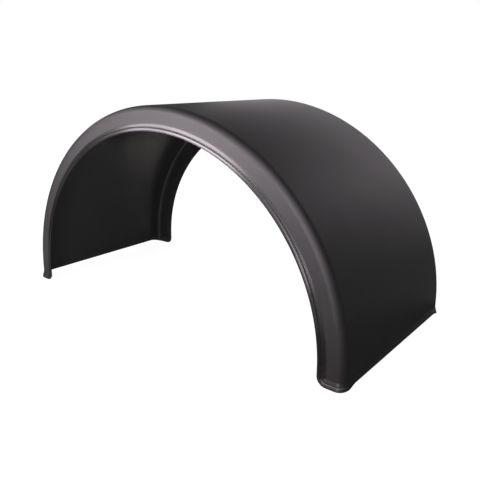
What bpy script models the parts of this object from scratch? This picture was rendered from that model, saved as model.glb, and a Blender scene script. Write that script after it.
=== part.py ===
"""Mudguard for a pair of trailer wheels: one moulded plastic shell, bent over the wheels as an arch.

The shell is a channel. Its skin follows half an ellipse that runs down into two short straight legs, and
along both sides the skin turns through a round shoulder into a flange that stands square to it. A rim runs
all round the free edge: it flares out of the panel in one even slope, has a narrow groove cut along it, and
ends in a flat land. At each foot the skin's edge is drawn up a little between the ends of the two flanges,
which carry the guard. The wall has one thickness throughout, so the underside repeats every form of the outside.

The shell is worked out on its developed sheet, in distances measured over the outer surface: s runs along
the arch from one foot to the other, and u runs across it from one flange's edge to the other's. The sheet
is a rectangle with round corners. Metres, Z up, the arch along X, feet on Z = 0.
"""
import math

import bmesh
import bpy
import numpy as np

# Arch, over the outer skin
HALF_SPAN = 0.650
RISE = 0.625
LEG_DROP = 0.0453

# Cross-section, over the outer surface
FACE_WIDTH = 0.6332
SHOULDER_RADIUS = 0.0231
FLANGE_FLAT = 0.0259
WALL = 0.004

# Rim: the flare's height and its easing out of the panel, then the groove and the land from the free edge
RIM_WIDTH = 0.0255
RIM_HEIGHT = 0.006
FLARE_BLEND = 0.005
GROOVE_INSET = 0.0095
GROOVE_RUN = 0.0035
GROOVE_DEPTH = 0.001
LAND_RUN = 0.002
PANEL_CORNER_RADIUS = 0.001
EDGE_ROUND = 0.0008

# Skin's edge at each foot: its height over the flanges' ends, the run to it from a flange, its reach up the leg
FOOT_LIFT = 0.0124
FOOT_LIFT_RUN = 0.066
FOOT_LIFT_REACH = 0.150

# Facets
ARCH_STATIONS = 52
SKIN_COLUMNS = 3
LIFT_COLUMNS = 2
SHOULDER_COLUMNS = 5
BLEND_STEPS = 2
GROOVE_STEPS = 3
CORNER_STEPS = 6
PATH_SAMPLES = 4000
SHARP_ANGLE = math.radians(45)
EDGE_ANGLE = math.radians(60)

# Finish
PLASTIC_COLOUR = (0.012, 0.0114, 0.0117, 1.0)
PLASTIC_ROUGHNESS = 0.42

# Worked out from the sizes above
FLARE_SLOPE = RIM_HEIGHT / (RIM_WIDTH - LAND_RUN - FLARE_BLEND / 2)
OUTLINE_CORNER_RADIUS = RIM_WIDTH + PANEL_CORNER_RADIUS
HALF_SKIN = FACE_WIDTH / 2 - SHOULDER_RADIUS
SHOULDER_END = HALF_SKIN + math.pi / 2 * SHOULDER_RADIUS
HALF_SHEET_WIDTH = SHOULDER_END + FLANGE_FLAT + RIM_WIDTH


def quarter_ellipse():
    """Angles from the crown to the springing line, with the length of the ellipse up to each."""
    angle = np.linspace(0.0, math.pi / 2, PATH_SAMPLES)
    across, up = HALF_SPAN * np.sin(angle), RISE * np.cos(angle)
    length = np.concatenate([[0.0], np.cumsum(np.hypot(np.diff(across), np.diff(up)))])
    return angle, length


CROWN_ANGLE, CROWN_LENGTH = quarter_ellipse()
HALF_SHEET_LENGTH = CROWN_LENGTH[-1] + LEG_DROP


def path_frame(s):
    """Points of the arch at the distances s from its crown, with their outward normals, as X and Z pairs."""
    side, run = np.sign(s), np.abs(s)
    angle = np.interp(run, CROWN_LENGTH, CROWN_ANGLE)
    below = np.maximum(run - CROWN_LENGTH[-1], 0.0)
    point = np.stack([side * HALF_SPAN * np.sin(angle), LEG_DROP + RISE * np.cos(angle) - below], -1)
    normal = np.stack([side * np.sin(angle) / HALF_SPAN, np.cos(angle) / RISE], -1)
    return point, normal / np.linalg.norm(normal, axis=-1, keepdims=True)


def section_frame(u):
    """Place across the channel at the distances u from its middle: Y, depth under the skin, and the normal."""
    side, run = np.sign(u), np.abs(u)
    turn = np.clip((run - HALF_SKIN) / SHOULDER_RADIUS, 0.0, math.pi / 2)
    y = side * (np.minimum(run, HALF_SKIN) + SHOULDER_RADIUS * np.sin(turn))
    depth = SHOULDER_RADIUS * (1 - np.cos(turn)) + np.maximum(run - SHOULDER_END, 0.0)
    return y, depth, side * np.sin(turn), np.cos(turn)


def ease(x):
    """Smooth rise from 0 to 1 as x goes from 0 to 1, level at both ends."""
    x = np.clip(x, 0.0, 1.0)
    return x * x * (3 - 2 * x)


def rim_height(edge_distance):
    """How far the rim stands out of the panel, by the distance from the free edge.

    The flare's slope eases from nothing to its full value over the blend, and is nothing again on the land.
    The groove's section is a squared sine.
    """
    run = np.clip(RIM_WIDTH - edge_distance, 0.0, RIM_WIDTH - LAND_RUN)
    blend = np.minimum(run / FLARE_BLEND, 1.0)
    eased_run = FLARE_BLEND * (blend ** 3 - blend ** 4 / 2) + np.maximum(run - FLARE_BLEND, 0.0)
    across_groove = np.clip((edge_distance - GROOVE_INSET) / GROOVE_RUN, 0.0, 1.0)
    return FLARE_SLOPE * eased_run - GROOVE_DEPTH * np.sin(math.pi * across_groove) ** 2


def foot_lift(s, u):
    """How far a point (s, u) is drawn up its leg: most at the skin's edge, nothing on the flanges."""
    from_flange = ease((SHOULDER_END - np.abs(u)) / FOOT_LIFT_RUN)
    down_leg = np.clip(1.0 - (HALF_SHEET_LENGTH - np.abs(s)) / FOOT_LIFT_REACH, 0.0, 1.0)
    return FOOT_LIFT * from_flange * down_leg ** 2


def on_shell(sheet, edge_distance):
    """Maps points (s, u) of the sheet, with their distances from the free edge, onto the outer surface."""
    s, u = np.asarray(sheet, float).T
    point, normal = path_frame(s - np.sign(s) * foot_lift(s, u))
    y, depth, lean_y, lean_out = section_frame(u)
    height = rim_height(np.asarray(edge_distance, float))
    out = height * lean_out - depth
    place = point + out[:, None] * normal
    return np.stack([place[:, 0], y + height * lean_y, place[:, 1]], -1)


def rim_rings():
    """Distances from the free edge at which the rim has a ring of points, from the panel outwards."""
    blend = np.linspace(RIM_WIDTH, RIM_WIDTH - FLARE_BLEND, BLEND_STEPS + 1)
    groove = np.linspace(GROOVE_INSET + GROOVE_RUN, GROOVE_INSET, GROOVE_STEPS + 1)
    return [*blend, *groove, LAND_RUN, 0.0]


def panel_lines():
    """Grid lines of the flat panel inside the rim, along s and across u, each from low to high."""
    s_end, u_end = HALF_SHEET_LENGTH - RIM_WIDTH, HALF_SHEET_WIDTH - RIM_WIDTH
    s_tangent, u_tangent = s_end - PANEL_CORNER_RADIUS, u_end - PANEL_CORNER_RADIUS
    along = np.linspace(-s_tangent, s_tangent, ARCH_STATIONS + 1)
    level = SHOULDER_END - FOOT_LIFT_RUN
    skin = np.linspace(-level, level, SKIN_COLUMNS + 1)
    rising = np.linspace(level, HALF_SKIN, LIFT_COLUMNS + 1)[1:]
    shoulder = np.linspace(HALF_SKIN, SHOULDER_END, SHOULDER_COLUMNS + 1)[1:]
    outer = np.concatenate([rising, shoulder, [u_tangent, u_end]])
    return (np.concatenate([[-s_end], along, [s_end]]),
            np.concatenate([-outer[::-1], skin, outer]))


def ring(s_lines, u_lines, edge_distance):
    """One closed loop of sheet points at a set distance inside the outline, with its round corners."""
    radius = OUTLINE_CORNER_RADIUS - edge_distance
    s_side, u_side = HALF_SHEET_LENGTH - edge_distance, HALF_SHEET_WIDTH - edge_distance
    s_centre, u_centre = s_side - radius, u_side - radius
    loop = []
    for quarter, (s_sign, u_sign) in enumerate([(1, 1), (-1, 1), (-1, -1), (1, -1)]):
        for step in range(CORNER_STEPS + 1):
            angle = math.pi / 2 * (quarter + step / CORNER_STEPS)
            loop.append((s_sign * s_centre + radius * math.cos(angle),
                         u_sign * u_centre + radius * math.sin(angle)))
        if quarter == 0:
            loop += [(s, u_side) for s in s_lines[-3:1:-1]]
        elif quarter == 1:
            loop += [(-s_side, u) for u in u_lines[-3:1:-1]]
        elif quarter == 2:
            loop += [(s, -u_side) for s in s_lines[2:-2]]
        else:
            loop += [(s_side, u) for u in u_lines[2:-2]]
    return loop


def shell_mesh(name):
    """Outer surface of the shell as one open sheet: the panel's grid, its round corners and the rim's rings."""
    s_lines, u_lines = panel_lines()
    rings = [(ring(s_lines, u_lines, distance), distance) for distance in rim_rings()]
    sheet = [(s, u) for s in s_lines[1:-1] for u in u_lines[1:-1]]
    edge_distance = [RIM_WIDTH] * len(sheet)
    for loop, distance in rings:
        sheet += loop
        edge_distance += [distance] * len(loop)

    mesh_edit = bmesh.new()
    points = [mesh_edit.verts.new(place) for place in on_shell(sheet, edge_distance)]
    inner_count = (len(s_lines) - 2) * (len(u_lines) - 2)
    ring_size = len(rings[0][0])
    loops = [points[inner_count + ring_size * k:inner_count + ring_size * (k + 1)] for k in range(len(rings))]

    rows, columns = len(s_lines) - 2, len(u_lines) - 2
    grid = [points[columns * row:columns * (row + 1)] for row in range(rows)]
    for row in range(rows - 1):
        for column in range(columns - 1):
            mesh_edit.faces.new([grid[row][column], grid[row + 1][column],
                                 grid[row + 1][column + 1], grid[row][column + 1]])
    border = loops[0]
    stride_s, stride_u = rows - 2, columns - 2
    start = 0
    sides = [([grid[rows - 1 - i][columns - 1] for i in range(rows)], stride_s),
             ([grid[0][columns - 1 - i] for i in range(columns)], stride_u),
             ([grid[i][0] for i in range(rows)], stride_s),
             ([grid[rows - 1][i] for i in range(columns)], stride_u)]
    for inner, stride in sides:
        corner = border[start:start + CORNER_STEPS + 1]
        mesh_edit.faces.new([inner[0]] + corner)
        run = corner[-1:] + border[start + CORNER_STEPS + 1:start + CORNER_STEPS + 1 + stride]
        start += CORNER_STEPS + 1 + stride
        run.append(border[start % ring_size])
        for k in range(len(inner) - 1):
            mesh_edit.faces.new([inner[k], run[k], run[k + 1], inner[k + 1]])
    for near, far in zip(loops, loops[1:]):
        for k in range(ring_size):
            following = (k + 1) % ring_size
            mesh_edit.faces.new([near[k], far[k], far[following], near[following]])

    mesh = bpy.data.meshes.new(name)
    mesh_edit.to_mesh(mesh)
    mesh_edit.free()
    mesh.shade_smooth()
    mesh.set_sharp_from_angle(angle=SHARP_ANGLE)
    return mesh


def moulded_plastic():
    """Black plastic with a satin moulded surface."""
    material = bpy.data.materials.new("moulded_plastic")
    material.use_nodes = True
    shader = material.node_tree.nodes["Principled BSDF"]
    shader.inputs["Base Color"].default_value = PLASTIC_COLOUR
    shader.inputs["Roughness"].default_value = PLASTIC_ROUGHNESS
    shader.inputs["Metallic"].default_value = 0.0
    return material


def make_mudguard():
    """The shell: its outer surface, given its wall inwards, with the free edge's two corners rounded."""
    mudguard = bpy.data.objects.new("mudguard", shell_mesh("mudguard"))
    bpy.context.scene.collection.objects.link(mudguard)
    mudguard.data.materials.append(moulded_plastic())
    wall = mudguard.modifiers.new("wall", "SOLIDIFY")
    wall.thickness = WALL
    wall.offset = -1.0
    wall.use_even_offset = True
    wall.use_rim = True
    edge = mudguard.modifiers.new("edge", "BEVEL")
    edge.width = EDGE_ROUND
    edge.segments = 1
    edge.limit_method = "ANGLE"
    edge.angle_limit = EDGE_ANGLE
    return mudguard


def main():
    for item in list(bpy.data.objects):
        bpy.data.objects.remove(item, do_unlink=True)
    make_mudguard()


main()
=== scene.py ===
"""Looks of a trailer mudguard: one black moulded shell, arched over a pair of wheels, in a white studio.

The shell is worked out on its developed sheet, in distances measured over the outer surface: s runs along
the arch from foot to foot, and u across it from the edge of one flange to the edge of the other. Lengths
are in metres, with Z up and the feet on Z = 0.
"""

import math

import bpy
import numpy as np
from bpy.props import FloatProperty, FloatVectorProperty, IntProperty, PointerProperty
from mathutils import Euler, Matrix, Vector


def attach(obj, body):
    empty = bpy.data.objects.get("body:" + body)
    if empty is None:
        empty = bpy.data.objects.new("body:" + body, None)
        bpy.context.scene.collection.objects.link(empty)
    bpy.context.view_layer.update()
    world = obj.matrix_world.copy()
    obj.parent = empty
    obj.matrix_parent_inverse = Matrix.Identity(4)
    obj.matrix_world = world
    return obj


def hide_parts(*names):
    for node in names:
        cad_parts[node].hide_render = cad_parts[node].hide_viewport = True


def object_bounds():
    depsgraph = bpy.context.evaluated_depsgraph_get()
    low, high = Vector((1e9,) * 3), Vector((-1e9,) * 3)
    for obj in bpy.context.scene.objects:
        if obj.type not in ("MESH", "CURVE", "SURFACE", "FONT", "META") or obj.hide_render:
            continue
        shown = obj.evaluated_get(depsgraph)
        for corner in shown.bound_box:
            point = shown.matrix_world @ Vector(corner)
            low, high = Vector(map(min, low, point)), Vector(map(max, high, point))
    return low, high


bl_info = {
    "name": "Trailer mudguard",
    "version": (1, 0, 0),
    "blender": (4, 5, 0),
    "location": "3D View > Sidebar > Mudguard",
    "description": "Builds a moulded trailer mudguard, its plastic finish and a white studio",
    "category": "Add Mesh",
}

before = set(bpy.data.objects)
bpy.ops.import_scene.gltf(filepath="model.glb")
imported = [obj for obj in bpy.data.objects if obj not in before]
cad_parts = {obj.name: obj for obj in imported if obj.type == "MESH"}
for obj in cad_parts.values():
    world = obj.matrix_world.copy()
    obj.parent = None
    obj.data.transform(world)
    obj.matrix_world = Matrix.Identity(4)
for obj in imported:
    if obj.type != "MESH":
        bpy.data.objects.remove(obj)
CAD_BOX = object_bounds()
NODE = "mudguard"

# The rim's section: a flare out of the panel, with a groove cut in it, that ends in a narrow flat land
RIM_WIDTH = 0.0255
RIM_HEIGHT = 0.006
FLARE_BLEND = 0.005
GROOVE_INSET = 0.0095
GROOVE_RUN = 0.0035
GROOVE_DEPTH = 0.001
LAND_RUN = 0.002
# The slope that brings the flare to its full height where the land begins
FLARE_SLOPE = RIM_HEIGHT / (RIM_WIDTH - LAND_RUN - FLARE_BLEND / 2)

# Fineness: points that measure the ellipse, then cells in each run of the panel's grid, middle to corner
ELLIPSE_POINTS = 6000
LEVEL_CELLS = 8
LIFT_CELLS = 8
SHOULDER_CELLS = 12
FLANGE_CELLS = 3
CORNER_CELLS = 6
# Cells in each run of the rim's section, from the panel round the free edge and back
BLEND_CELLS = 8
FLARE_CELLS = 4
GROOVE_CELLS = 10
LIP_CELLS = 3
EDGE_CELLS = 4
BACK_CELLS = 5

# A painted highlight runs along the inside of each shoulder, a pale line that stands for the light the
# inner
# shoulder reflects: its u, half its width, and the share of that half over which it has its full colour
PAINTED_HIGHLIGHT_PLACE = 0.3103
PAINTED_HIGHLIGHT_HALF = 0.0013
PAINTED_HIGHLIGHT_CORE = 0.3

# The plastic's patterns: features a metre, and the depth of those that are bumps
CLOUD_SCALE = 5.0
WAVE_SCALE = 9.0
WAVE_DEPTH = 0.0006
GRAIN_SCALE = 900.0
GRAIN_DEPTH = 0.00003
# Streaks lie along the arch: their scale over the stretched sheet
STREAK_SCALE = 4.0
STREAK_STRETCH = (6.0, 60.0, 1.0)
# Scuffs show where streak and cloud both rise through these values
SCUFF_STREAK = (0.60, 0.74)
SCUFF_CLOUD = (0.48, 0.66)
# What clouds and scuffs add to the roughness, and the share of grain that the smooth rim and inside lack
CLOUD_DULLING = 0.06
SCUFF_DULLING = 0.05
GRAIN_LOST = 0.9
# Heights between which the rim turns from its dulled foot to its lip
FOOT_FADE = (0.02, 0.07)
PLASTIC_IOR = 1.49

# The photograph's camera: pixels of the picture, metres and radians
IMAGE_SIDE = 480
FOCAL_PIXELS = 552.80
PRINCIPAL_PIXEL = (216.71, 222.05)
CAMERA_PLACE = (1.1903, -1.4237, 0.7440)
CAMERA_YAW = math.radians(40.457)
CAMERA_PITCH = math.radians(-14.566)
CAMERA_ROLL = -0.0033
SENSOR_MM = 36.0

# Softboxes: azimuth and elevation in degrees, width, height and brightness
SOFTBOXES = {
    "bar_left": (-32.5, 22.5, 1.55, 0.32, 9.5),
    "strip": (18.5, 15.5, 0.45, 1.85, 6.4),
    "high_right": (20.0, 34.5, 3.10, 2.65, 1.6),
    "rear": (-174.5, 10.5, 2.55, 1.40, 1.5),
    "high_left": (-44.5, 34.0, 2.55, 1.35, 1.65),
    "bar_middle": (-19.5, 21.5, 1.20, 0.30, 8.0),
    "key": (-31.5, -1.0, 0.85, 0.55, 17.5),
    "window": (42.0, 17.5, 0.45, 0.75, 2.4),
    "low_strip": (20.0, -2.5, 0.35, 0.60, 4.0),
}
LAMP_AIM = (0.0, -0.1, 0.4)
LAMP_DISTANCE = 2.0
LAMP_TINT = (1.04, 0.94, 1.02)

# Dim drapes hang round the floor and over it: low and high corners, and the box's corners at each side,
# numbered by X, then Y, then Z: ceiling, front, rear, left and right
DRAPE_BOX = ((-5.0, -5.0, 0.0), (5.0, 5.0, 6.0))
DRAPE_SIDES = ((1, 3, 7, 5), (0, 1, 5, 4), (2, 6, 7, 3), (0, 2, 3, 1), (4, 5, 7, 6))
DRAPE_TINT = (0.98, 1.01, 1.0)

# Cards on the floor, the last on top: low and high corners in X and Y, tint and brightness in reflections
COOL, PLAIN, MILD, WARM = (0.97, 1.02, 1.0), (1.02, 1.0, 0.98), (1.03, 1.01, 0.96), (1.06, 1.0, 0.94)
FLOOR_CARDS = {
    "left": ((-5.0, -5.0), (0.0, 0.4), COOL, 0.08),
    "left_far": ((-5.0, -5.0), (-1.15, 0.4), COOL, 0.01),
    "front": ((0.0, -5.0), (0.66, 0.4), COOL, 0.01),
    "right": ((0.66, -5.0), (5.0, 0.4), COOL, 0.08),
    "rear_right": ((-0.1, 0.4), (5.0, 5.0), MILD, 0.20),
    "rear_middle": ((-5.0, 0.3), (-0.1, 5.0), PLAIN, 0.12),
    "rear_left": ((-5.0, 0.38), (-0.465, 5.0), WARM, 0.24),
    "rear_patch": ((-0.58, 0.47), (-0.465, 0.65), WARM, 0.32),
    "front_far": ((-0.3, -1.3), (0.8, -0.75), COOL, 0.60),
    "left_foot": ((-1.15, -0.85), (-0.66, -0.37), COOL, 0.42),
}
CARD_LIFT = 0.001

# The floor: half its side, its white, its glow, and the glow's share near the feet, which fades outwards
FLOOR_HALF = 6.0
FLOOR_WHITE = 0.8
FLOOR_GLOW = 1.08
NEAR_GLOW_SHARE = 0.88
NEAR_GLOW_FADE = (0.8, 1.5)


class MudguardShape(bpy.types.PropertyGroup):
    """Sizes of the shell."""
    half_span: FloatProperty(
        name="Half span", description="Half the arch's length over its outer skin",
        default=CAD_BOX[1].x - RIM_HEIGHT, unit="LENGTH")
    leg_drop: FloatProperty(
        name="Leg drop", description="Straight run of each leg below the springing line",
        default=0.0453, unit="LENGTH")
    height: FloatProperty(
        name="Height", description="Height of the crown above the feet",
        default=CAD_BOX[1].z, unit="LENGTH")
    face_width: FloatProperty(
        name="Face width", description="Width over the two flat flange faces",
        default=2 * (CAD_BOX[1].y - RIM_HEIGHT), unit="LENGTH")
    shoulder_radius: FloatProperty(
        name="Shoulder radius", description="Outer radius between the skin and each flange",
        default=0.0231, unit="LENGTH")
    flange_flat: FloatProperty(
        name="Flange flat", description="Flat band of each flange, between shoulder and rim",
        default=0.0259, unit="LENGTH")
    wall: FloatProperty(
        name="Wall", description="Thickness of the moulding", default=0.004, unit="LENGTH")
    corner_radius: FloatProperty(
        name="Panel corner", description="Corner radius of the flat panel inside the rim",
        default=0.001, unit="LENGTH")
    foot_lift: FloatProperty(
        name="Foot lift", description="Height of the skin's edge over the corners of each foot",
        default=0.0124, unit="LENGTH")
    foot_lift_run: FloatProperty(
        name="Foot lift run",
        description="Run over the shoulder and skin from a flange to the lifted edge",
        default=0.066, unit="LENGTH")
    foot_lift_reach: FloatProperty(
        name="Foot lift reach", description="How far up the leg the lift is felt",
        default=0.150, unit="LENGTH")
    edge_round: FloatProperty(
        name="Edge round", description="Radius on the two corners of the free edge",
        default=0.0012, unit="LENGTH")
    stations: IntProperty(
        name="Stations", description="Grid cells along the arch", default=240, min=24)


class MudguardFinish(bpy.types.PropertyGroup):
    """Colour and surface of the plastic."""
    colour: FloatVectorProperty(
        name="Plastic", description="Colour of the moulded plastic", subtype="COLOR",
        size=3, default=(0.0070, 0.0066, 0.0066), min=0.0, max=1.0)
    inner_colour: FloatVectorProperty(
        name="Inner face", description="Colour of the inner face, which is a little lighter",
        subtype="COLOR", size=3, default=(0.0146, 0.0148, 0.0141), min=0.0, max=1.0)
    # Painted highlight: a pale colour on each inner shoulder that stands for the light it reflects
    painted_highlight_colour: FloatVectorProperty(
        name="Painted_highlight", description="Colour of the crease inside each shoulder", subtype="COLOR",
        size=3, default=(0.085, 0.082, 0.079), min=0.0, max=1.0)
    scuff_colour: FloatVectorProperty(
        name="Scuffs", description="Colour where handling has dulled the plastic",
        subtype="COLOR", size=3, default=(0.030, 0.029, 0.029), min=0.0, max=1.0)
    roughness: FloatProperty(
        name="Roughness", description="Roughness of the moulded face", default=0.48,
        min=0.0, max=1.0, subtype="FACTOR")
    rim_roughness: FloatProperty(
        name="Rim roughness", description="Roughness of the rim, which the mould leaves smoother",
        default=0.24, min=0.0, max=1.0, subtype="FACTOR")
    lip_roughness: FloatProperty(
        name="Lip roughness", description="Roughness of the lip beyond the groove, rubbed smooth",
        default=0.19, min=0.0, max=1.0, subtype="FACTOR")
    foot_roughness: FloatProperty(
        name="Foot roughness", description="Roughness of the rim near the ground, dulled by handling",
        default=0.34, min=0.0, max=1.0, subtype="FACTOR")
    inner_roughness: FloatProperty(
        name="Inner roughness", description="Roughness of the glossier inner face",
        default=0.22, min=0.0, max=1.0, subtype="FACTOR")


class MudguardStudio(bpy.types.PropertyGroup):
    """Light of the studio."""
    lamps: FloatProperty(
        name="Lamps", description="Brightness of all softboxes together", default=1.0)
    drapes: FloatProperty(
        name="Drapes", description="Brightness of the dark drapes around, in reflections", default=0.14)
    ambient: FloatProperty(
        name="Ambient", description="Strength of the plain light from all sides", default=0.22)


def ellipse_lengths(shape):
    """Angles round the skin's half ellipse from the crown, and the length from the crown to each.

    The lengths are the sums of the straight steps between close points of the ellipse.
    """
    angle = np.linspace(0.0, math.pi / 2, ELLIPSE_POINTS)
    rise = shape.height - shape.leg_drop
    steps = np.hypot(np.diff(shape.half_span * np.sin(angle)), np.diff(rise * np.cos(angle)))
    return angle, np.concatenate([[0.0], np.cumsum(steps)])


def sheet_marks(shape):
    """Distances over the sheet: crown to foot, middle to the skin's end, middle to the shoulder's end."""
    foot = ellipse_lengths(shape)[1][-1] + shape.leg_drop
    skin_end = shape.face_width / 2 - shape.shoulder_radius
    return foot, skin_end, skin_end + math.pi / 2 * shape.shoulder_radius


def arch_frame(s, shape):
    """Points of the skin's path at distances s from the crown, with outward normals, as X and Z pairs.

    The path is half an ellipse, then a straight leg: x = a sin t and z = b cos t above the springing line,
    where t is looked up from s in the ellipse's lengths.
    """
    rise = shape.height - shape.leg_drop
    angles, lengths = ellipse_lengths(shape)
    side, run = np.sign(s), np.abs(s)
    angle = np.interp(run, lengths, angles)
    below = np.maximum(run - lengths[-1], 0.0)
    point = np.stack([side * shape.half_span * np.sin(angle),
                      shape.leg_drop + rise * np.cos(angle) - below], -1)
    normal = np.stack([side * np.sin(angle) / shape.half_span, np.cos(angle) / rise], -1)
    return point, normal / np.linalg.norm(normal, axis=-1, keepdims=True)


def section_frame(u, shape):
    """Y, depth under the skin and the normal's two shares, at distances u across the channel.

    The section is flat over the skin, a quarter circle at the shoulder and straight down the flange.
    """
    radius = shape.shoulder_radius
    half_skin = shape.face_width / 2 - radius
    side, run = np.sign(u), np.abs(u)
    turn = np.clip((run - half_skin) / radius, 0.0, math.pi / 2)
    y = side * (np.minimum(run, half_skin) + radius * np.sin(turn))
    down = np.maximum(run - half_skin - math.pi / 2 * radius, 0.0)
    return y, radius * (1 - np.cos(turn)) + down, side * np.sin(turn), np.cos(turn)


def foot_lift(s, u, shape):
    """How far sheet points (s, u) are drawn up their leg.

    The lift is full at the skin's edge and falls off to nothing towards each flange, as 3 x squared less
    2 x cubed over its run, and with the square of the way down its reach to the foot.
    """
    foot, _, shoulder_end = sheet_marks(shape)
    x = np.clip((shoulder_end - np.abs(u)) / shape.foot_lift_run, 0.0, 1.0)
    down = np.clip(1 - (foot - np.abs(s)) / shape.foot_lift_reach, 0.0, 1.0)
    return shape.foot_lift * x * x * (3 - 2 * x) * down ** 2


def on_shell(s, u, height, shape):
    """Maps sheet points (s, u) at a height above the outer surface into space.

    Place = the path's point, less the depth and plus the height's outward share along the path's normal,
    with Y from the section plus the height's sideways share.
    """
    point, normal = arch_frame(s - np.sign(s) * foot_lift(s, u, shape), shape)
    y, depth, lean_y, lean_out = section_frame(u, shape)
    place = point + (height * lean_out - depth)[..., None] * normal
    return np.stack([place[..., 0], y + height * lean_y, place[..., 1]], -1)


def flare_height(distance):
    """Height of the flare, by the distance from the free edge.

    Its slope eases from 0 to the full slope over the blend, stays there, and is 0 on the land. The
    blend's height is the integral of the easing: its run times x cubed less half of x to the fourth.
    """
    run = np.clip(RIM_WIDTH - distance, 0.0, RIM_WIDTH - LAND_RUN)
    x = np.clip(run / FLARE_BLEND, 0.0, 1.0)
    return FLARE_SLOPE * (FLARE_BLEND * (x ** 3 - x ** 4 / 2) + np.maximum(run - FLARE_BLEND, 0.0))


def rim_height(distance):
    """Height of the rim's outer face: the flare, less a groove whose section is a squared sine."""
    across = np.clip((distance - GROOVE_INSET) / GROOVE_RUN, 0.0, 1.0)
    return flare_height(distance) - GROOVE_DEPTH * np.sin(math.pi * across) ** 2


def stops(start, end, cells):
    """Evenly spaced places from start to end, one for each cell, without the start itself."""
    return np.linspace(start, end, cells + 1)[1:]


def rim_profile(shape):
    """Distances from the free edge and heights of the rim's whole section, outer face to inner face.

    The outer face runs down to the edge, two quarter circles turn round it, and the inner face runs
    back.
    """
    corner, wall = shape.edge_round, shape.wall
    blend_end = RIM_WIDTH - FLARE_BLEND
    groove_start = GROOVE_INSET + GROOVE_RUN
    blend = stops(RIM_WIDTH, blend_end, BLEND_CELLS)
    out = np.concatenate([blend, stops(blend_end, groove_start, FLARE_CELLS),
                          stops(groove_start, GROOVE_INSET, GROOVE_CELLS),
                          stops(GROOVE_INSET, LAND_RUN, LIP_CELLS), [corner]])
    back = np.concatenate([blend, stops(blend_end, LAND_RUN, BACK_CELLS)])[::-1]
    turn = stops(0.0, math.pi / 2, EDGE_CELLS)
    distance = np.concatenate([out, corner * (1 - np.sin(turn)), corner * (1 - np.cos(turn)), back])
    height = np.concatenate([rim_height(out), RIM_HEIGHT - corner * (1 - np.cos(turn)),
                             RIM_HEIGHT - wall + corner * (1 - np.sin(turn)),
                             flare_height(back) - wall])
    return distance, height


def panel_lines(shape):
    """Grid lines of the flat panel inside the rim along s and u, and half sizes to its corners' centres.

    Lines inside a corner are spaced so that the round border's points lie at equal angles: the line at
    angle a from the side is at root 2 times sin a of the corner's radius.
    """
    radius = shape.corner_radius
    foot, skin_end, shoulder_end = sheet_marks(shape)
    s_core = foot - RIM_WIDTH - radius
    u_core = shoulder_end + shape.flange_flat - radius
    into_corner = radius * math.sqrt(2) * np.sin(stops(0.0, math.pi / 4, CORNER_CELLS))
    s_half = np.concatenate([stops(0.0, s_core, shape.stations // 2), s_core + into_corner])
    level_end = shoulder_end - shape.foot_lift_run
    u_half = np.concatenate([stops(0.0, level_end, LEVEL_CELLS), stops(level_end, skin_end, LIFT_CELLS),
                             stops(skin_end, shoulder_end, SHOULDER_CELLS),
                             stops(shoulder_end, u_core, FLANGE_CELLS), u_core + into_corner])
    s_lines, u_lines = [np.concatenate([-half[::-1], [0.0], half]) for half in (s_half, u_half)]
    return s_lines, u_lines, s_core, u_core


def panel_grid(shape):
    """Sheet points of the panel's grid, its four corners rounded, and half sizes to the corners' centres.

    In a corner the square grid becomes a quarter disc: x = a root(1 - b b / 2), y = b root(1 - a a / 2).
    """
    s_lines, u_lines, s_core, u_core = panel_lines(shape)
    s, u = np.meshgrid(s_lines, u_lines, indexing="ij")
    radius = shape.corner_radius
    a = np.maximum(np.abs(s) - s_core, 0.0) / radius
    b = np.maximum(np.abs(u) - u_core, 0.0) / radius
    s = np.where(a > 0, np.sign(s) * (s_core + radius * a * np.sqrt(1 - b * b / 2)), s)
    u = np.where(b > 0, np.sign(u) * (u_core + radius * b * np.sqrt(1 - a * a / 2)), u)
    return s, u, s_core, u_core


def border_walk(index):
    """A grid's border, in order, anticlockwise as seen from outside."""
    return np.concatenate([index[-1, :-1], index[:0:-1, -1], index[0, :0:-1], index[:-1, 0]])


def shell_arrays(shape):
    """Vertices, quads, sheet places, edge distances and inner share of the shell, one closed surface.

    The outer and inner panels are two grids one wall apart. The rim's section is carried round their
    border: a border point's outward direction is from the nearest point of the panel's core rectangle.
    """
    s, u, s_core, u_core = panel_grid(shape)
    panel = np.stack([s.ravel(), u.ravel()], -1)
    index = np.arange(len(panel)).reshape(s.shape)
    border = border_walk(index)
    core = np.clip(panel[border], (-s_core, -u_core), (s_core, u_core))
    away = panel[border] - core
    away /= np.linalg.norm(away, axis=-1, keepdims=True)
    distance, height = rim_profile(shape)
    reach = shape.corner_radius + RIM_WIDTH - distance
    rim = (core + away * reach[:, None, None]).reshape(-1, 2)

    sheet = np.concatenate([panel, rim, panel])
    flat = np.zeros(len(panel))
    heights = np.concatenate([flat, np.repeat(height, len(border)), flat - shape.wall])
    edge = np.concatenate([flat + RIM_WIDTH, np.repeat(distance, len(border)), flat + RIM_WIDTH])
    inside = heights < flare_height(edge) - shape.wall / 2
    vertices = on_shell(sheet[:, 0], sheet[:, 1], heights, shape)

    outer = np.stack([index[:-1, :-1], index[1:, :-1], index[1:, 1:], index[:-1, 1:]], -1).reshape(-1, 4)
    inner_start = len(panel) + len(rim)
    inner = outer[:, ::-1] + inner_start
    rings = np.concatenate([border[None], len(panel) + np.arange(len(rim)).reshape(len(distance), -1),
                            border[None] + inner_start])
    following = np.roll(rings, -1, axis=1)
    strip = np.stack([rings[:-1], rings[1:], following[1:], following[:-1]], -1).reshape(-1, 4)
    return vertices, np.concatenate([outer, strip, inner]), sheet, edge, inside


def mesh_object(name, vertices, faces):
    """A mesh object from whole arrays, shaded smooth, at the origin."""
    mesh = bpy.data.meshes.new(name)
    mesh.from_pydata(vertices.tolist(), [], faces.tolist())
    mesh.shade_smooth()
    thing = bpy.data.objects.new(name, mesh)
    bpy.context.scene.collection.objects.link(thing)
    return thing


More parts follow.
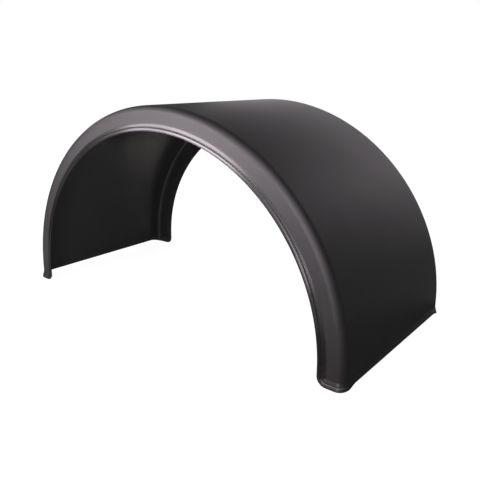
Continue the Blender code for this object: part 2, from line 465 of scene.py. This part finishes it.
def level_rectangle(name, low, high, z):
    """A rectangle at height z between two corners in X and Y, facing up."""
    corners = [(low[0], low[1], z), (high[0], low[1], z), (high[0], high[1], z), (low[0], high[1], z)]
    return mesh_object(name, np.array(corners), np.array([[0, 1, 2, 3]]))


class Value:
    """A node's output. Arithmetic on it adds Math nodes, so that a formula reads as one."""

    def __init__(self, graph, socket):
        self.graph = graph
        self.socket = socket

    def math(self, operation, first, second):
        return self.graph.node("ShaderNodeMath", {"operation": operation}, {0: first, 1: second})

    def __add__(self, other):
        return self.math("ADD", self, other)

    def __sub__(self, other):
        return self.math("SUBTRACT", self, other)

    def __rsub__(self, other):
        return self.math("SUBTRACT", other, self)

    def __mul__(self, other):
        return self.math("MULTIPLY", self, other)

    def larger(self, other):
        return self.math("MAXIMUM", self, other)

    def size(self):
        return self.math("ABSOLUTE", self, 0.0)

    __radd__ = __add__
    __rmul__ = __mul__


class Graph:
    """One node tree, with a single way to add a node to it."""

    def __init__(self, tree):
        self.tree = tree
        tree.nodes.clear()

    def node(self, kind, settings, inputs, output=0):
        """Adds a node: its settings first, then the values or links of its sockets. Returns an output."""
        made = self.tree.nodes.new(kind)
        for name, setting in settings.items():
            setattr(made, name, setting)
        for name, content in inputs.items():
            if isinstance(content, Value):
                self.tree.links.new(content.socket, made.inputs[name])
            else:
                made.inputs[name].default_value = content
        return Value(self, made.outputs[output]) if made.outputs else None

    def attribute(self, name):
        """A number that the mesh holds at its points."""
        return self.node("ShaderNodeAttribute", {"attribute_name": name}, {}, output="Fac")

    def part(self, vector, axis):
        """One of a vector's X, Y and Z."""
        return self.node("ShaderNodeSeparateXYZ", {}, {0: vector}, output=axis)

    def range(self, value, low, high, to_low=0.0, to_high=1.0):
        """Value mapped smoothly from low..high to to_low..to_high."""
        return self.node("ShaderNodeMapRange", {"interpolation_type": "SMOOTHSTEP"},
                         {0: value, 1: low, 2: high, 3: to_low, 4: to_high})

    def noise(self, where, scale, detail=2.0, roughness=0.5):
        """Noise from 0 to 1 with about scale features a metre."""
        return self.node("ShaderNodeTexNoise", {}, {"Vector": where, "Scale": scale, "Detail": detail,
                                                    "Roughness": roughness})

    def bump(self, height, distance, **under):
        """A normal from a height of 0 to 1 that stands for a distance."""
        return self.node("ShaderNodeBump", {}, {"Height": height, "Distance": distance, "Strength": 1.0,
                                                **under})

    def mix(self, share, first, second):
        """A number between two."""
        return self.node("ShaderNodeMix", {}, {0: share, 2: first, 3: second})

    def colour_mix(self, share, first, second):
        """A colour between two."""
        return self.node("ShaderNodeMix", {"data_type": "RGBA"}, {0: share, 6: first, 7: second},
                         output=2)


def rgba(colour):
    """A colour with the full alpha that a node's socket asks for."""
    return (*colour, 1.0)


def moulded_plastic(finish):
    """Satin black polyethylene: a fine moulded grain, slow waviness, and faint scuffs from handling.

    The rim and the inner face are smoother and keep little of the grain, the rim is dull again near the
    ground, and a painted highlight, a pale line for the light that the inner shoulder reflects, runs along
    the inside of each shoulder.
    """
    material = bpy.data.materials.new("moulded_plastic")
    material.use_nodes = True
    graph = Graph(material.node_tree)
    here = graph.node("ShaderNodeTexCoord", {}, {}, output="Object")
    sheet = graph.node("ShaderNodeUVMap", {"uv_map": "sheet"}, {})
    inside = graph.attribute("inside")
    edge = graph.attribute("edge_distance")

    cloud = graph.noise(here, CLOUD_SCALE, detail=3.0)
    along = graph.node("ShaderNodeMapping", {}, {"Vector": sheet, "Scale": STREAK_STRETCH})
    streak = graph.noise(along, STREAK_SCALE, detail=4.0, roughness=0.65)
    scuff = graph.range(streak, *SCUFF_STREAK) * graph.range(cloud, *SCUFF_CLOUD)

    # Painted highlight: a pale line along each inner shoulder, mixed into the inner face's colour
    off_painted_highlight = (graph.part(sheet, "Y").size() - PAINTED_HIGHLIGHT_PLACE).size()
    painted_highlight = graph.range(off_painted_highlight, PAINTED_HIGHLIGHT_CORE * PAINTED_HIGHLIGHT_HALF, PAINTED_HIGHLIGHT_HALF, 1.0, 0.0)
    inner = graph.colour_mix(painted_highlight, rgba(finish.inner_colour), rgba(finish.painted_highlight_colour))
    plain = graph.colour_mix(inside, rgba(finish.colour), inner)
    colour = graph.colour_mix(scuff, plain, rgba(finish.scuff_colour))

    lip = graph.range(edge, GROOVE_INSET, GROOVE_INSET + GROOVE_RUN, finish.lip_roughness,
                      finish.rim_roughness)
    foot = graph.range(graph.part(here, "Z"), *FOOT_FADE, 1.0, 0.0)
    rim = graph.mix(foot, lip, finish.foot_roughness)
    outside = graph.range(edge, RIM_WIDTH - FLARE_BLEND, RIM_WIDTH, rim, finish.roughness)
    body = graph.mix(inside, outside, finish.inner_roughness)
    roughness = body + CLOUD_DULLING * (cloud - 0.5) + SCUFF_DULLING * scuff

    smooth = inside.larger(graph.range(edge, RIM_WIDTH - FLARE_BLEND, RIM_WIDTH, 1.0, 0.0))
    waves = graph.noise(here, WAVE_SCALE, detail=1.0)
    grain = graph.noise(here, GRAIN_SCALE, detail=1.0) * (1.0 - GRAIN_LOST * smooth)
    slow = graph.bump(waves, WAVE_DEPTH)
    fine = graph.bump(grain, GRAIN_DEPTH, Normal=slow)
    shader = graph.node("ShaderNodeBsdfPrincipled", {},
                        {"Base Color": colour, "Roughness": roughness, "Normal": fine,
                         "IOR": PLASTIC_IOR})
    graph.node("ShaderNodeOutputMaterial", {}, {"Surface": shader})
    return material


def reflected_or_seen(graph):
    """1 for what the camera sees straight, in a mirror or through glass, and 0 for plain light."""
    rays = [graph.node("ShaderNodeLightPath", {}, {}, output=name)
            for name in ("Is Camera Ray", "Is Glossy Ray", "Is Transmission Ray")]
    return rays[0].larger(rays[1]).larger(rays[2])


def white_world(studio):
    """White for the camera, reflections and glass; a plain light for everything else."""
    world = bpy.data.worlds.new("studio")
    bpy.context.scene.world = world
    world.use_nodes = True
    graph = Graph(world.node_tree)
    strength = graph.range(reflected_or_seen(graph), 0.0, 1.0, studio.ambient, 1.0)
    light = graph.node("ShaderNodeBackground", {}, {"Color": (1.0, 1.0, 1.0, 1.0),
                                                    "Strength": strength})
    graph.node("ShaderNodeOutputWorld", {}, {"Surface": light})


def white_floor():
    """A white floor that keeps a soft shadow: it glows, and near the feet it also shows what lights it."""
    floor = level_rectangle("floor", (-FLOOR_HALF, -FLOOR_HALF), (FLOOR_HALF, FLOOR_HALF), 0.0)
    material = bpy.data.materials.new("white_floor")
    material.use_nodes = True
    graph = Graph(material.node_tree)
    here = graph.node("ShaderNodeTexCoord", {}, {}, output="Object")
    away = graph.node("ShaderNodeVectorMath", {"operation": "LENGTH"}, {0: here}, output="Value")
    paper = graph.node("ShaderNodeBsdfDiffuse", {}, {"Color": rgba([FLOOR_WHITE] * 3)})
    glow = graph.node("ShaderNodeEmission", {}, {"Color": (1.0, 1.0, 1.0, 1.0), "Strength": FLOOR_GLOW})
    share = reflected_or_seen(graph) * graph.range(away, *NEAR_GLOW_FADE, NEAR_GLOW_SHARE, 1.0)
    surface = graph.node("ShaderNodeMixShader", {}, {0: share, 1: paper, 2: glow})
    graph.node("ShaderNodeOutputMaterial", {}, {"Surface": surface})
    floor.data.materials.append(material)


def toward(azimuth, elevation):
    """Unit vector at an azimuth in degrees, 0 in front and growing to the right, and an elevation."""
    across, up = math.radians(azimuth), math.radians(elevation)
    return np.array([math.cos(up) * math.sin(across), -math.cos(up) * math.cos(across), math.sin(up)])


def softbox(name, azimuth, elevation, width, height, brightness):
    """A rectangular lamp that faces the mudguard, with a power of pi times its area and brightness."""
    data = bpy.data.lights.new(name, "AREA")
    data.shape = "RECTANGLE"
    data.size, data.size_y = width, height
    data.energy = math.pi * width * height * brightness
    data.color = LAMP_TINT
    lamp = bpy.data.objects.new(name, data)
    bpy.context.scene.collection.objects.link(lamp)
    lamp.location = np.array(LAMP_AIM) + LAMP_DISTANCE * toward(azimuth, elevation)
    lamp.rotation_euler = Euler((math.radians(90 - elevation), 0.0, math.radians(azimuth)))
    lamp.visible_camera = False


def reflected_only(card, tint, brightness):
    """Gives a flat-sided surface an even brightness that only reflections show."""
    card.data.shade_flat()
    material = bpy.data.materials.new(card.name)
    material.use_nodes = True
    graph = Graph(material.node_tree)
    cloth = graph.node("ShaderNodeEmission", {}, {"Color": rgba(tint), "Strength": brightness})
    graph.node("ShaderNodeOutputMaterial", {}, {"Surface": cloth})
    card.data.materials.append(material)
    for ray in ("camera", "diffuse", "transmission", "volume_scatter", "shadow"):
        setattr(card, "visible_" + ray, False)


def dark_drapes(studio):
    """Drapes on four sides and overhead: a box without its bottom, facing inwards."""
    x, y, z = np.meshgrid(*zip(*DRAPE_BOX), indexing="ij")
    drapes = mesh_object("dark_drapes", np.stack([x, y, z], -1).reshape(-1, 3), np.array(DRAPE_SIDES))
    reflected_only(drapes, DRAPE_TINT, studio.drapes)


def floor_cards():
    """The cards on the floor, each a little above the one before."""
    for place, (name, (low, high, tint, brightness)) in enumerate(FLOOR_CARDS.items(), 1):
        reflected_only(level_rectangle("card_" + name, low, high, CARD_LIFT * place), tint, brightness)


def photo_camera():
    """The photograph's camera: focal length, principal point, place and turn."""
    data = bpy.data.cameras.new("camera")
    data.sensor_width = SENSOR_MM
    data.lens = FOCAL_PIXELS / IMAGE_SIDE * SENSOR_MM
    data.shift_x = (IMAGE_SIDE / 2 - PRINCIPAL_PIXEL[0]) / IMAGE_SIDE
    data.shift_y = (PRINCIPAL_PIXEL[1] - IMAGE_SIDE / 2) / IMAGE_SIDE
    camera = bpy.data.objects.new("camera", data)
    bpy.context.scene.collection.objects.link(camera)
    turn = Euler((math.pi / 2 + CAMERA_PITCH, 0.0, CAMERA_YAW)).to_matrix()
    camera.rotation_euler = (turn @ Matrix.Rotation(CAMERA_ROLL, 3, "Z")).to_euler()
    camera.location = CAMERA_PLACE
    bpy.context.scene.camera = camera


class MUDGUARD_OT_shell(bpy.types.Operator):
    """Build the moulded shell with its flanges and its flared, grooved rim"""
    bl_idname = "mudguard.shell"
    bl_label = "Build shell"

    def execute(self, context):
        shape = context.scene.mudguard_shape
        vertices, faces, sheet, edge, inside = shell_arrays(shape)
        shell = mesh_object("mudguard_shell", vertices, faces)
        mesh = shell.data
        corner = np.empty(len(mesh.loops), np.int32)
        mesh.loops.foreach_get("vertex_index", corner)
        mesh.uv_layers.new(name="sheet").data.foreach_set("uv", sheet[corner].astype(np.float32).ravel())
        for name, values in (("edge_distance", edge), ("inside", inside)):
            attribute = mesh.attributes.new(name, "FLOAT", "POINT")
            attribute.data.foreach_set("value", values.astype(np.float32))
        mesh.materials.append(moulded_plastic(context.scene.mudguard_finish))
        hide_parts(NODE)
        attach(shell, "root")
        return {"FINISHED"}


class MUDGUARD_OT_studio(bpy.types.Operator):
    """Set the white studio: world, floor, softboxes, drapes, cards and camera"""
    bl_idname = "mudguard.studio"
    bl_label = "Set studio"

    def execute(self, context):
        studio = context.scene.mudguard_studio
        white_world(studio)
        white_floor()
        for name, (azimuth, elevation, width, height, brightness) in SOFTBOXES.items():
            softbox("softbox_" + name, azimuth, elevation, width, height, brightness * studio.lamps)
        dark_drapes(studio)
        floor_cards()
        photo_camera()
        context.scene.view_settings.view_transform = "Standard"
        return {"FINISHED"}


class MUDGUARD_PT_panel(bpy.types.Panel):
    """Sizes, finish and light of the mudguard"""
    bl_label = "Mudguard"
    bl_space_type = "VIEW_3D"
    bl_region_type = "UI"
    bl_category = "Mudguard"

    def draw(self, context):
        layout = self.layout
        for group in (context.scene.mudguard_shape, context.scene.mudguard_finish,
                      context.scene.mudguard_studio):
            for name in group.bl_rna.properties.keys():
                if name not in {"rna_type", "name"}:
                    layout.prop(group, name)
        for operator in (MUDGUARD_OT_shell, MUDGUARD_OT_studio):
            layout.operator(operator.bl_idname)


CLASSES = (MudguardShape, MudguardFinish, MudguardStudio,
           MUDGUARD_OT_shell, MUDGUARD_OT_studio, MUDGUARD_PT_panel)
SETTINGS = {"mudguard_shape": MudguardShape, "mudguard_finish": MudguardFinish,
            "mudguard_studio": MudguardStudio}


def register():
    for item in CLASSES:
        bpy.utils.register_class(item)
    for name, group in SETTINGS.items():
        setattr(bpy.types.Scene, name, PointerProperty(type=group))


def unregister():
    for name in SETTINGS:
        delattr(bpy.types.Scene, name)
    for item in reversed(CLASSES):
        bpy.utils.unregister_class(item)


def main():
    register()
    bpy.ops.mudguard.shell()
    bpy.ops.mudguard.studio()


if __name__ == "__main__":
    main()
